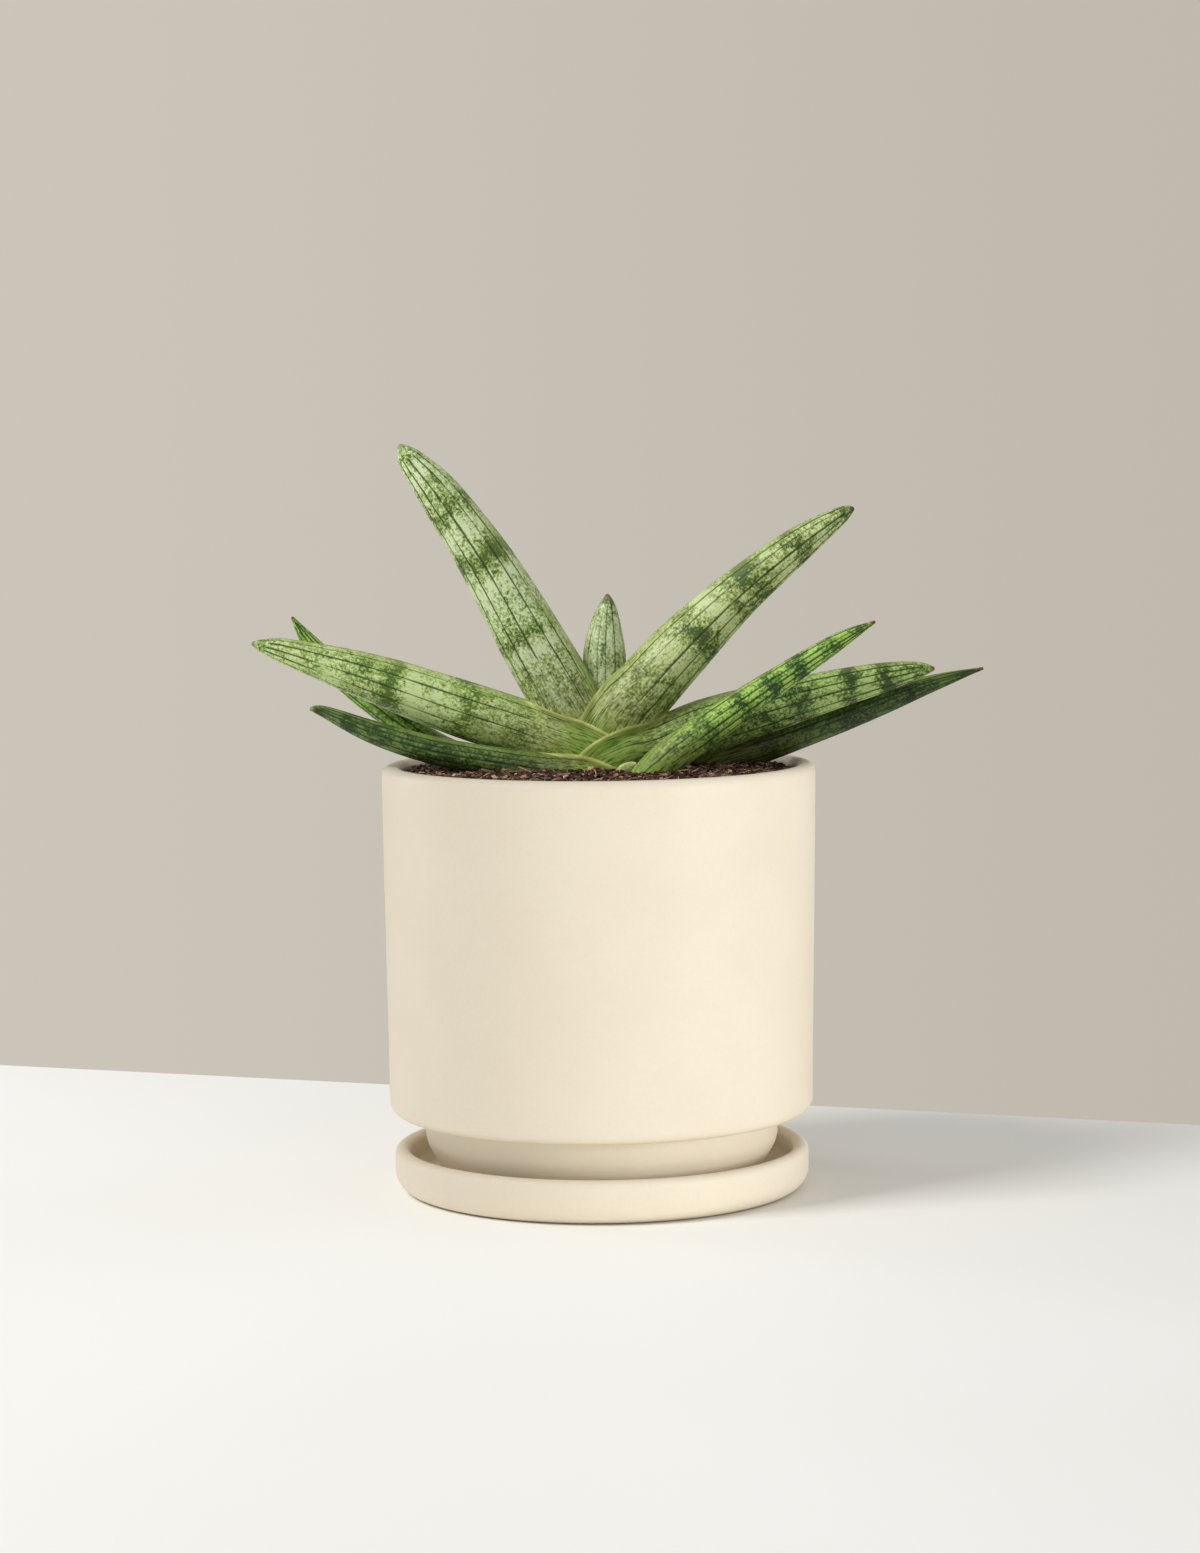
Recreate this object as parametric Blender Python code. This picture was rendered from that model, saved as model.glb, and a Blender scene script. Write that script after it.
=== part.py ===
"""A small snake plant (Dracaena angolensis) with a flat fan of thick round leaves, in a plain ceramic
cylinder pot on a shallow matching saucer.

The saucer's underside is centred on the origin, +Z is up, and the fan of leaves spreads along X with its
front towards -Y. Lengths below are in millimetres and become metres where an object is made.
"""

import math

import bmesh
import bpy
from mathutils import Vector

MM = 0.001
GAP = 0.3                    # between pieces that touch
LATHE_STEPS = 48
CORNER_STEPS = 3             # segments in a rounded corner of a turned profile
MERGE_DISTANCE = 0.00001

# Saucer
SAUCER_RADIUS = 61.0
SAUCER_HEIGHT = 12.9
SAUCER_WALL = 4.6
SAUCER_FLOOR = 4.5
SAUCER_CORNER = 6.0

# Pot
RIM_RADIUS = 63.5
RIM_HEIGHT = 125.2
LIP_OUTER_ROUND = 2.6
LIP_INNER_ROUND = 2.2
POT_WALL = 5.4
BODY_BASE_RADIUS = 62.3
BODY_BASE = 23.0
BODY_CORNER = 3.5
FOOT_RADIUS = 51.8
FOOT_BASE = SAUCER_FLOOR + GAP
FOOT_BASE_RADIUS = 46.5
FOOT_WALL = 5.4
FOOT_RING_WIDTH = 8.0
FOOT_RECESS = 1.5
POT_FLOOR = 11.0
DRAIN_RADIUS = 6.0

# Soil
SOIL_EDGE = 122.9
SOIL_TOP = 124.4

# Leaves: each is a tapering round rod that follows a line of stations (x, y, z, half width, half depth)
# from its base in the crown to its tip. The half width is in the plane of the fan, the half depth across it.
LEAF_SIDES = 20
LEAF_RINGS = 17
BASE_SQUARENESS = 2.8        # exponent of the flattened section where a leaf wraps the ones inside it
ROUND_SECTION = 2.0
SHEATH_SHARE = 0.3           # of a leaf's length, over which the section turns from flattened to round
SCALE_LEAF_SIDES = 10
SCALE_LEAF_RINGS = 8

LEAF_CENTRE = [
    (0.5, 4.0, 108, 4.4, 4.2), (1.5, 5.5, 130, 5.5, 5.0), (2.0, 7.0, 147, 6.1, 5.6),
    (2.1, 7.0, 157, 6.3, 6.2), (2.6, 7.0, 166, 4.4, 4.4), (3.1, 7.0, 171.5, 2.3, 2.3),
    (3.1, 7.0, 174.4, 0.4, 0.4),
]
LEAF_UPPER_LEFT = [
    (4.0, 3.5, 109, 6.2, 6.4), (-3.0, 3.5, 130, 8.5, 8.2), (-10.5, 3.0, 145.5, 10.0, 9.4),
    (-18.5, 3.0, 159.8, 9.7, 9.4), (-31.8, 2.0, 183.7, 8.1, 8.1), (-45.4, 1.0, 203.9, 6.4, 6.4),
    (-53.4, 0.5, 214.6, 4.4, 4.4), (-57.0, 0.0, 218.2, 0.7, 0.7),
]
LEAF_UPPER_RIGHT = [
    (-3.5, 3.0, 107, 6.4, 7.8), (1.5, 3.0, 127, 8.4, 9.8), (7.5, 2.5, 138.5, 9.2, 10.2),
    (15.0, 2.0, 148, 9.5, 9.8), (24.4, 2.0, 158.1, 8.9, 8.9), (40.6, 2.0, 173.7, 7.1, 7.1),
    (59.0, 2.0, 188.5, 5.2, 5.2), (71.5, 2.0, 197.0, 2.5, 2.5), (75.3, 2.0, 198.9, 0.5, 0.5),
]
LEAF_LEFT = [
    (11.0, 3.0, 111, 7.0, 9.4), (3.0, 3.0, 123, 8.8, 11.4), (-5.5, 2.5, 129, 8.8, 11.4),
    (-14.5, 2.0, 132.5, 8.4, 9.6), (-24.0, 2.0, 136, 8.5, 8.6), (-41.7, 1.5, 142, 8.3, 8.3),
    (-66.2, 1.0, 150.8, 7.0, 7.0), (-90.0, 0.5, 158.5, 4.0, 4.0), (-97.5, 0.5, 160.4, 2.1, 2.1),
    (-100.9, 0.5, 161.2, 0.5, 0.5),
]
LEAF_RIGHT_BACK = [
    (-7.0, 3.0, 110, 7.0, 10.8), (0.0, 3.0, 121.5, 8.8, 12.8), (8.0, 3.0, 127.5, 8.2, 12.6),
    (18.0, 3.0, 130.0, 8.2, 10.6), (32.6, 3.0, 135.7, 8.2, 8.4), (56.4, 3.0, 142.5, 6.8, 6.8),
    (80.3, 3.0, 148.6, 4.7, 4.7), (93.5, 3.0, 151.3, 2.6, 2.6), (98.8, 3.0, 151.8, 0.5, 0.5),
]
LEAF_LEFT_LOW = [
    (11.0, 3.0, 109, 5.6, 12.0), (4.0, 2.0, 117, 7.0, 13.8), (-5.0, -1.0, 122.5, 5.8, 11.8),
    (-16.0, -5.0, 124.4, 4.6, 7.4), (-28.7, -7.0, 126.4, 4.3, 4.6), (-48.2, -7.0, 130, 4.1, 4.1),
    (-65.3, -7.5, 135.4, 3.4, 3.4), (-79.5, -8.0, 141.6, 1.7, 1.7), (-83.6, -8.0, 142.4, 0.5, 0.5),
]
LEAF_RIGHT_FRONT = [
    (4.0, -15.0, 107, 4.6, 4.4), (12.0, -17.0, 119, 5.2, 5.0), (20.1, -15.5, 127.5, 5.3, 5.0),
    (29.8, -14.0, 134.5, 5.1, 5.0), (47.7, -12.0, 146.8, 4.2, 4.2), (68.9, -12.0, 160.3, 2.6, 2.6),
    (80.3, -12.0, 166.4, 0.4, 0.4),
]
LEAF_LEFT_BACK = [
    (-20.0, 13.0, 109, 3.6, 3.6), (-30.0, 14.0, 119, 4.0, 4.0), (-40.0, 14.0, 125.5, 4.0, 4.0),
    (-52.0, 14.0, 132, 4.0, 4.0), (-73.0, 14.0, 147.9, 3.5, 3.5), (-84.5, 14.0, 160, 2.6, 2.6),
    (-90.2, 14.0, 168.2, 0.4, 0.4),
]
LEAF_RIGHT_LOW = [
    (20.0, 9.5, 107, 4.2, 4.2), (28.0, 13.0, 120, 4.8, 4.8), (37.2, 13.0, 125.4, 4.9, 4.9),
    (52.4, 12.0, 130, 4.9, 4.9), (78.6, 12.0, 139.6, 4.2, 4.2), (99.6, 12.0, 147.1, 2.4, 2.4),
    (114.0, 12.0, 151.2, 0.4, 0.4),
]
SCALE_LEAF = [
    (4.5, -15.6, 116, 1.6, 0.8), (6.3, -15.8, 123.4, 1.6, 0.9), (9.0, -15.8, 125.6, 1.2, 0.7),
    (11.0, -15.8, 126.3, 0.3, 0.3),
]

# Crown: a short creeping stem that joins the leaves, and a few thick roots, as (x, y, z, radius)
CROWN_SIDES = 14
CROWN_RINGS = 10
CROWN_STEM = [(-24, 12, 105, 4.2), (-10, 8, 103, 6.8), (4, 5, 102, 8.4), (20, 7, 104, 5.2)]
ROOT_SIDES = 8
ROOT_RINGS = 9
ROOTS = [
    [(-3, 1, 101, 2.4), (-10, -12, 86, 2.2), (-14, -26, 64, 1.8), (-10, -34, 40, 1.0)],
    [(6, 1, 101, 2.4), (20, -8, 88, 2.2), (34, -14, 68, 1.8), (40, -10, 44, 1.0)],
    [(3, 5, 102, 2.5), (4, 17, 85, 2.2), (-6, 26, 62, 1.8), (-4, 30, 34, 1.0)],
    [(-13, 8, 102, 2.2), (-26, 6, 90, 2.0), (-38, 10, 72, 1.6), (-42, 16, 50, 1.0)],
    [(15, 7, 103, 2.2), (27, 20, 90, 2.0), (34, 30, 70, 1.6), (36, 28, 48, 1.0)],
]

# Colours (linear RGB) and roughness
CERAMIC = ((0.74, 0.65, 0.50), 0.5)
SOIL = ((0.045, 0.022, 0.013), 0.95)
PLANT_BASE = ((0.30, 0.22, 0.10), 0.7)
GREY_GREEN = ((0.22, 0.33, 0.15), 0.45)
DARK_GREEN = ((0.045, 0.10, 0.03), 0.45)
BRIGHT_GREEN = ((0.13, 0.32, 0.04), 0.45)
PALE_GREEN = ((0.45, 0.52, 0.22), 0.5)


def clear_scene():
    for obj in list(bpy.data.objects):
        bpy.data.objects.remove(obj, do_unlink=True)


def material(name, look):
    colour, roughness = look
    made = bpy.data.materials.new(name)
    made.use_nodes = True
    shader = made.node_tree.nodes["Principled BSDF"]
    shader.inputs["Base Color"].default_value = (*colour, 1.0)
    shader.inputs["Roughness"].default_value = roughness
    made.diffuse_color = (*colour, 1.0)
    return made


def object_from(name, bm, look=None):
    """Turns a bmesh in millimetres into a smooth-shaded object in metres."""
    bmesh.ops.scale(bm, vec=Vector((MM, MM, MM)), verts=bm.verts)
    mesh = bpy.data.meshes.new(name)
    bm.to_mesh(mesh)
    bm.free()
    obj = bpy.data.objects.new(name, mesh)
    bpy.context.scene.collection.objects.link(obj)
    if mesh.polygons:
        mesh.shade_smooth()
        mesh.set_sharp_from_angle(angle=math.radians(40))
    if look:
        mesh.materials.append(look)
    return obj


def hide_cutter(obj):
    obj.hide_render = True
    obj.display_type = "WIRE"


def arc(centre_r, centre_z, radius, start, end):
    """Points of a rounded corner, with angles in degrees from the +r axis."""
    points = []
    for i in range(CORNER_STEPS + 1):
        angle = math.radians(start + (end - start) * i / CORNER_STEPS)
        points.append((centre_r + radius * math.cos(angle), centre_z + radius * math.sin(angle)))
    return points


def turned(name, profile, look, ring=False):
    """A body of revolution about Z. A ring's profile is a closed loop that stays off the axis."""
    bm = bmesh.new()
    verts = [bm.verts.new((r, 0, z)) for r, z in profile]
    for first, second in zip(verts, verts[1:]):
        bm.edges.new((first, second))
    if ring:
        bm.edges.new((verts[-1], verts[0]))
    obj = object_from(name, bm, look)
    screw = obj.modifiers.new("turn", "SCREW")
    screw.axis = "Z"
    screw.steps = LATHE_STEPS
    screw.render_steps = LATHE_STEPS
    screw.use_merge_vertices = True
    screw.merge_threshold = MERGE_DISTANCE
    screw.use_smooth_shade = True
    return obj


def smooth_value(before, start, end, after, t):
    """Catmull-Rom curve between start and end."""
    rise = (end - before) * 0.5
    fall = (after - start) * 0.5
    return (
        (2 * t**3 - 3 * t**2 + 1) * start
        + (t**3 - 2 * t**2 + t) * rise
        + (3 * t**2 - 2 * t**3) * end
        + (t**3 - t**2) * fall
    )


def along(stations, count):
    """Stations read evenly from a smooth curve through the given ones."""
    spans = len(stations) - 1
    found = []
    for i in range(count):
        place = spans * i / (count - 1)
        index = min(int(place), spans - 1)
        t = place - index
        around = [stations[max(0, min(spans, index + step))] for step in (-1, 0, 1, 2)]
        found.append([smooth_value(*values, t) for values in zip(*around)])
    return found


def section(half_width, half_depth, squareness, sides):
    """A superellipse, as (across the fan, in the fan's plane) offsets."""
    power = 2 / squareness
    points = []
    for i in range(sides):
        angle = 2 * math.pi * i / sides
        depth = math.copysign(abs(math.cos(angle)) ** power, math.cos(angle)) * half_depth
        width = math.copysign(abs(math.sin(angle)) ** power, math.sin(angle)) * half_width
        points.append((depth, width))
    return points


def swept(name, stations, rings, sides, look, sheath=False, grow=0.0):
    """A closed rod along the stations, larger all round by grow."""
    bm = bmesh.new()
    path = along(stations, rings)
    places = [Vector(station[:3]) for station in path]
    loops = []
    for i, station in enumerate(path):
        tangent = (places[min(i + 1, rings - 1)] - places[max(i - 1, 0)]).normalized()
        across = (Vector((0, 1, 0)) - tangent * tangent.y).normalized()
        upward = tangent.cross(across)
        share = min(1.0, i / (rings - 1) / SHEATH_SHARE)
        squareness = BASE_SQUARENESS + (ROUND_SECTION - BASE_SQUARENESS) * share if sheath else ROUND_SECTION
        place = places[i]
        if grow and i in (0, rings - 1):
            place = place + tangent * (grow if i else -grow)
        half_width = station[3] + grow
        half_depth = station[-1] + grow
        offsets = section(half_width, half_depth, squareness, sides)
        loops.append([bm.verts.new(place + across * d + upward * w) for d, w in offsets])
    for lower, upper in zip(loops, loops[1:]):
        for i in range(sides):
            j = (i + 1) % sides
            bm.faces.new((lower[i], lower[j], upper[j], upper[i]))
    bm.faces.new(loops[0])
    bm.faces.new(loops[-1])
    bmesh.ops.recalc_face_normals(bm, faces=bm.faces)
    return object_from(name, bm, look)


def join(obj, other):
    union = obj.modifiers.new("join_" + other.name, "BOOLEAN")
    union.operation = "UNION"
    union.solver = "EXACT"
    union.object = other


def cut_away(obj, cutters):
    """Takes all of the cutters away from obj in one exact Boolean."""
    group = bpy.data.collections.new(obj.name + "_cutters")
    for cutter in cutters:
        group.objects.link(cutter)
    cut = obj.modifiers.new("cut_away", "BOOLEAN")
    cut.operation = "DIFFERENCE"
    cut.solver = "EXACT"
    cut.operand_type = "COLLECTION"
    cut.collection = group


def make_saucer(look):
    wall_foot = SAUCER_RADIUS - SAUCER_WALL
    lip = SAUCER_WALL / 2
    round_in = 3.0
    profile = [(0, SAUCER_FLOOR)]
    profile += arc(wall_foot - round_in, SAUCER_FLOOR + round_in, round_in, -90, 0)
    profile += arc(wall_foot + lip, SAUCER_HEIGHT - lip, lip, 180, 90)
    profile += arc(wall_foot + lip, SAUCER_HEIGHT - lip, lip, 90, 0)[1:]
    profile += arc(SAUCER_RADIUS - SAUCER_CORNER, SAUCER_CORNER, SAUCER_CORNER, 0, -90)
    profile += [(0, 0)]
    return turned("saucer", profile, look)


def inner_wall(clearance):
    """The inside of the pot from its rim down to its floor, moved inwards by clearance."""
    wall = RIM_RADIUS - POT_WALL
    body = BODY_BASE_RADIUS - POT_WALL
    foot = FOOT_RADIUS - FOOT_WALL
    step = BODY_BASE + POT_WALL + clearance
    floor = POT_FLOOR + clearance
    return wall - clearance, body - clearance, foot - clearance, step, floor


def make_pot(look):
    wall, body, foot, step, floor = inner_wall(0)
    ring_inside = FOOT_BASE_RADIUS - FOOT_RING_WIDTH
    recess = FOOT_BASE + FOOT_RECESS
    body_round = BODY_BASE_RADIUS - BODY_CORNER
    profile = arc(RIM_RADIUS - LIP_OUTER_ROUND, RIM_HEIGHT - LIP_OUTER_ROUND, LIP_OUTER_ROUND, 90, 0)
    profile += arc(body_round, BODY_BASE + BODY_CORNER, BODY_CORNER, 0, -90)
    profile += [(FOOT_RADIUS + 1.2, BODY_BASE), (FOOT_RADIUS, BODY_BASE - 1.2)]
    profile += [(FOOT_RADIUS, 15.5), (49.6, 11.0), (FOOT_BASE_RADIUS + 0.8, FOOT_BASE + 0.8)]
    profile += [(FOOT_BASE_RADIUS, FOOT_BASE), (ring_inside, FOOT_BASE)]
    profile += [(ring_inside - FOOT_RECESS, recess), (DRAIN_RADIUS, recess), (DRAIN_RADIUS, floor)]
    profile += [(foot - 5.4, floor), (foot - 1.2, floor + 2.4), (foot, step - 1.2), (foot + 1.2, step)]
    profile += [(body - 3, step), (body, step + 3)]
    profile += arc(wall + LIP_INNER_ROUND, RIM_HEIGHT - LIP_INNER_ROUND, LIP_INNER_ROUND, 180, 90)
    return turned("pot", profile, look, ring=True)


def make_soil(look):
    wall, body, foot, step, floor = inner_wall(GAP)
    profile = [(0, SOIL_TOP), (20, SOIL_TOP), (36, SOIL_TOP - 0.4), (wall, SOIL_EDGE)]
    profile += [(body, step + 3), (body - 3, step), (foot + 1.2, step), (foot, step - 1.2)]
    profile += [(foot - 1.2, floor + 2.4), (foot - 5.4, floor), (0, floor)]
    return turned("soil", profile, look)


def make_rhizome(name, look, grow=0.0):
    """The creeping stem with its roots joined on; grown slightly, it is also what hollows the soil for them."""
    stem = swept(name, CROWN_STEM, CROWN_RINGS, CROWN_SIDES, look, grow=grow)
    for i, path in enumerate(ROOTS):
        root = swept(f"{name}_root_{i + 1}", path, ROOT_RINGS, ROOT_SIDES, look, grow=grow)
        hide_cutter(root)
        join(stem, root)
    return stem


def make_leaf(name, stations, look, inner_cutters):
    """A leaf whose base wraps the leaves inside it, and the slightly larger copy that clears a place for it."""
    small = name == "scale_leaf"
    sides = SCALE_LEAF_SIDES if small else LEAF_SIDES
    rings = SCALE_LEAF_RINGS if small else LEAF_RINGS
    leaf = swept(name, stations, rings, sides, look, sheath=not small)
    cutter = swept(name + "_clearance", stations, rings, sides, None, sheath=not small, grow=GAP)
    hide_cutter(cutter)
    cut_away(leaf, inner_cutters)
    return cutter


def main():
    clear_scene()
    ceramic = material("ceramic", CERAMIC)
    soil_look = material("soil", SOIL)
    rhizome_look = material("rhizome", PLANT_BASE)
    grey_leaf = material("leaf_grey_green", GREY_GREEN)
    dark_leaf = material("leaf_dark_green", DARK_GREEN)
    bright_leaf = material("leaf_bright_green", BRIGHT_GREEN)
    pale_leaf = material("leaf_pale", PALE_GREEN)

    make_saucer(ceramic)
    make_pot(ceramic)
    soil = make_soil(soil_look)
    make_rhizome("rhizome", rhizome_look)
    crown_cutter = make_rhizome("rhizome_clearance", None, grow=GAP)
    hide_cutter(crown_cutter)

    cutters = [crown_cutter]
    from_the_inside_out = [
        ("leaf_centre", LEAF_CENTRE, grey_leaf),
        ("leaf_upper_left", LEAF_UPPER_LEFT, grey_leaf),
        ("leaf_upper_right", LEAF_UPPER_RIGHT, grey_leaf),
        ("leaf_left", LEAF_LEFT, grey_leaf),
        ("leaf_right_back", LEAF_RIGHT_BACK, grey_leaf),
        ("leaf_left_low", LEAF_LEFT_LOW, dark_leaf),
        ("leaf_right_front", LEAF_RIGHT_FRONT, bright_leaf),
        ("leaf_left_back", LEAF_LEFT_BACK, bright_leaf),
        ("leaf_right_low", LEAF_RIGHT_LOW, dark_leaf),
        ("scale_leaf", SCALE_LEAF, pale_leaf),
    ]
    for name, stations, look in from_the_inside_out:
        cutters.append(make_leaf(name, stations, look, cutters))
    cut_away(soil, cutters)


main()
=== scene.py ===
"""The looks of the potted snake plant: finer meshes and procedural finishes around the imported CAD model.

Lengths in the geometry sections are in millimetres, as in part.py, and become metres where an object is
made. +Z is up, X runs across the fan of leaves, and the camera stands on the -Y side.
"""

import math
import random
from types import SimpleNamespace

import bpy
import numpy as np
from mathutils import Euler, Matrix, Vector, noise
from mathutils.bvhtree import BVHTree


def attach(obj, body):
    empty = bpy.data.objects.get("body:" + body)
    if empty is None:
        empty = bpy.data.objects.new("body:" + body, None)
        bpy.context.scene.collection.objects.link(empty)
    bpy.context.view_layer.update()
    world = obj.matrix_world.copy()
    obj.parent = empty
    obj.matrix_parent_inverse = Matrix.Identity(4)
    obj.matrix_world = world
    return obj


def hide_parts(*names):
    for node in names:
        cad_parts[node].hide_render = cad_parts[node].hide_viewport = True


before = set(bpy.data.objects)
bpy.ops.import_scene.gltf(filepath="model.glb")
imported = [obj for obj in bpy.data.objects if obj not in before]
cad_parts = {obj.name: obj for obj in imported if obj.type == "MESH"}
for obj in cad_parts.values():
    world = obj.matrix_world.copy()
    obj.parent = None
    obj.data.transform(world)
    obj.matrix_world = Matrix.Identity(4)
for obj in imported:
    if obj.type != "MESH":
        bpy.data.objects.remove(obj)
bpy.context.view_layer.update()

MM = 0.001
TAU = 2 * math.pi

# Bake maps keep this far from the edges of their square, and this much is left between
UV_MARGIN = 0.004
UV_SPAN = 0.992

# Turned pieces, the same sizes as in the CAD model
TURN_SIDES = 240
RIM_RADIUS = 63.5
RIM_HEIGHT = 125.2
POT_WALL = 5.4
BODY_BASE_RADIUS = 62.3
BODY_BASE = 23.0
BODY_CORNER = 3.5
FOOT_RADIUS = 51.8
FOOT_BASE_RADIUS = 46.5
FOOT_BASE = 4.8
POT_FLOOR = 11.0
DRAIN_RADIUS = 6.0
SAUCER_RADIUS = 61.0
SAUCER_HEIGHT = 12.9
SAUCER_WALL = 4.6
SAUCER_FLOOR = 4.5
SAUCER_CORNER = 6.0

# Soil
SOIL_RADIUS = 57.7
SOIL_EDGE = 122.6
SOIL_TOP = 124.0
SOIL_BOTTOM = 11.3

# Leaves: stations (x, y, z, half width in the fan's plane, half depth across it) from base to tip, the same
# as in the CAD model apart from leaf_upper_right's base and leaf_upper_left's tip.
LEAF_SIDES = 144
LEAF_RINGS = 190
BASE_SQUARENESS = 2.8
ROUND_SECTION = 2.0
SHEATH_SHARE = 0.3
LEAF_STATIONS = {
    "leaf_centre": [
        (0.5, 4.0, 108, 4.4, 4.2), (1.5, 5.5, 130, 5.5, 5.0), (2.0, 7.0, 147, 6.1, 5.6),
        (2.1, 7.0, 157, 6.3, 6.2), (2.6, 7.0, 166, 4.4, 4.4), (3.1, 7.0, 171.5, 2.3, 2.3),
        (3.1, 7.0, 174.4, 0.4, 0.4),
    ],
    "leaf_upper_left": [
        (4.0, 3.5, 109, 6.2, 6.4), (-3.0, 3.5, 130, 8.5, 8.2), (-10.5, 3.0, 145.5, 10.0, 9.4),
        (-18.5, 3.0, 159.8, 9.7, 9.4), (-31.8, 2.0, 183.7, 8.1, 8.1), (-45.4, 1.0, 203.9, 6.3, 6.3),
        (-53.4, 0.5, 213.7, 3.9, 3.9), (-56.0, 0.2, 217.2, 2.0, 2.0), (-57.1, 0.0, 218.6, 0.5, 0.5),
    ],
    "leaf_upper_right": [
        (-3.5, 3.0, 107, 6.4, 7.8), (0.7, 3.0, 127.5, 9.5, 9.8), (6.8, 2.5, 139.0, 10.1, 10.2),
        (15.0, 2.0, 148, 9.5, 9.8), (24.4, 2.0, 158.1, 8.9, 8.9), (40.6, 2.0, 173.7, 7.1, 7.1),
        (59.0, 2.0, 188.5, 5.2, 5.2), (71.5, 2.0, 197.0, 2.5, 2.5), (75.3, 2.0, 198.9, 0.5, 0.5),
    ],
    "leaf_left": [
        (11.0, 3.0, 111, 7.0, 9.4), (3.0, 3.0, 123, 8.8, 11.4), (-5.5, 2.5, 129, 8.8, 11.4),
        (-14.5, 2.0, 132.5, 8.4, 9.6), (-24.0, 2.0, 136, 8.5, 8.6), (-41.7, 1.5, 142, 8.3, 8.3),
        (-66.2, 1.0, 150.8, 7.0, 7.0), (-90.0, 0.5, 158.5, 4.0, 4.0), (-97.5, 0.5, 160.4, 2.1, 2.1),
        (-100.9, 0.5, 161.2, 0.5, 0.5),
    ],
    "leaf_right_back": [
        (-7.0, 3.0, 110, 7.0, 10.8), (0.0, 3.0, 121.5, 8.8, 12.8), (8.0, 3.0, 127.5, 8.2, 12.6),
        (18.0, 3.0, 130.0, 8.2, 10.6), (32.6, 3.0, 135.7, 8.2, 8.4), (56.4, 3.0, 142.5, 6.8, 6.8),
        (80.3, 3.0, 148.6, 4.7, 4.7), (93.5, 3.0, 151.3, 2.6, 2.6), (98.8, 3.0, 151.8, 0.5, 0.5),
    ],
    "leaf_left_low": [
        (11.0, 3.0, 109, 5.6, 12.0), (4.0, 2.0, 117, 7.0, 13.8), (-5.0, -1.0, 122.5, 5.8, 11.8),
        (-16.0, -5.0, 124.4, 4.6, 7.4), (-28.7, -7.0, 126.4, 4.3, 4.6), (-48.2, -7.0, 130, 4.1, 4.1),
        (-65.3, -7.5, 135.4, 3.4, 3.4), (-79.5, -8.0, 141.6, 1.7, 1.7), (-83.6, -8.0, 142.4, 0.5, 0.5),
    ],
    "leaf_right_front": [
        (4.0, -15.0, 107, 4.6, 4.4), (12.0, -17.0, 119, 5.2, 5.0), (20.1, -15.5, 127.5, 5.3, 5.0),
        (29.8, -14.0, 134.5, 5.1, 5.0), (47.7, -12.0, 146.8, 4.2, 4.2), (68.9, -12.0, 160.3, 2.6, 2.6),
        (80.3, -12.0, 166.4, 0.4, 0.4),
    ],
    "leaf_left_back": [
        (-20.0, 13.0, 109, 3.6, 3.6), (-30.0, 14.0, 119, 4.0, 4.0), (-40.0, 14.0, 125.5, 4.0, 4.0),
        (-52.0, 14.0, 132, 4.0, 4.0), (-73.0, 14.0, 147.9, 3.5, 3.5), (-84.5, 14.0, 160, 2.6, 2.6),
        (-90.2, 14.0, 168.2, 0.4, 0.4),
    ],
    "leaf_right_low": [
        (20.0, 9.5, 107, 4.2, 4.2), (28.0, 13.0, 120, 4.8, 4.8), (37.2, 13.0, 125.4, 4.9, 4.9),
        (52.4, 12.0, 130, 4.9, 4.9), (78.6, 12.0, 139.6, 4.2, 4.2), (99.6, 12.0, 147.1, 2.4, 2.4),
        (114.0, 12.0, 151.2, 0.4, 0.4),
    ],
    "scale_leaf": [
        (4.5, -15.6, 116, 1.6, 0.8), (6.3, -15.8, 123.4, 1.6, 0.9), (9.0, -15.8, 125.6, 1.2, 0.7),
        (11.0, -15.8, 126.3, 0.3, 0.3),
    ],
}

# From the inside out: each leaf's base wraps those before it
LEAF_ORDER = [
    "leaf_centre", "leaf_upper_left", "leaf_upper_right", "leaf_left", "leaf_right_back",
    "leaf_left_low", "leaf_right_front", "leaf_left_back", "leaf_right_low", "scale_leaf",
]

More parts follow.
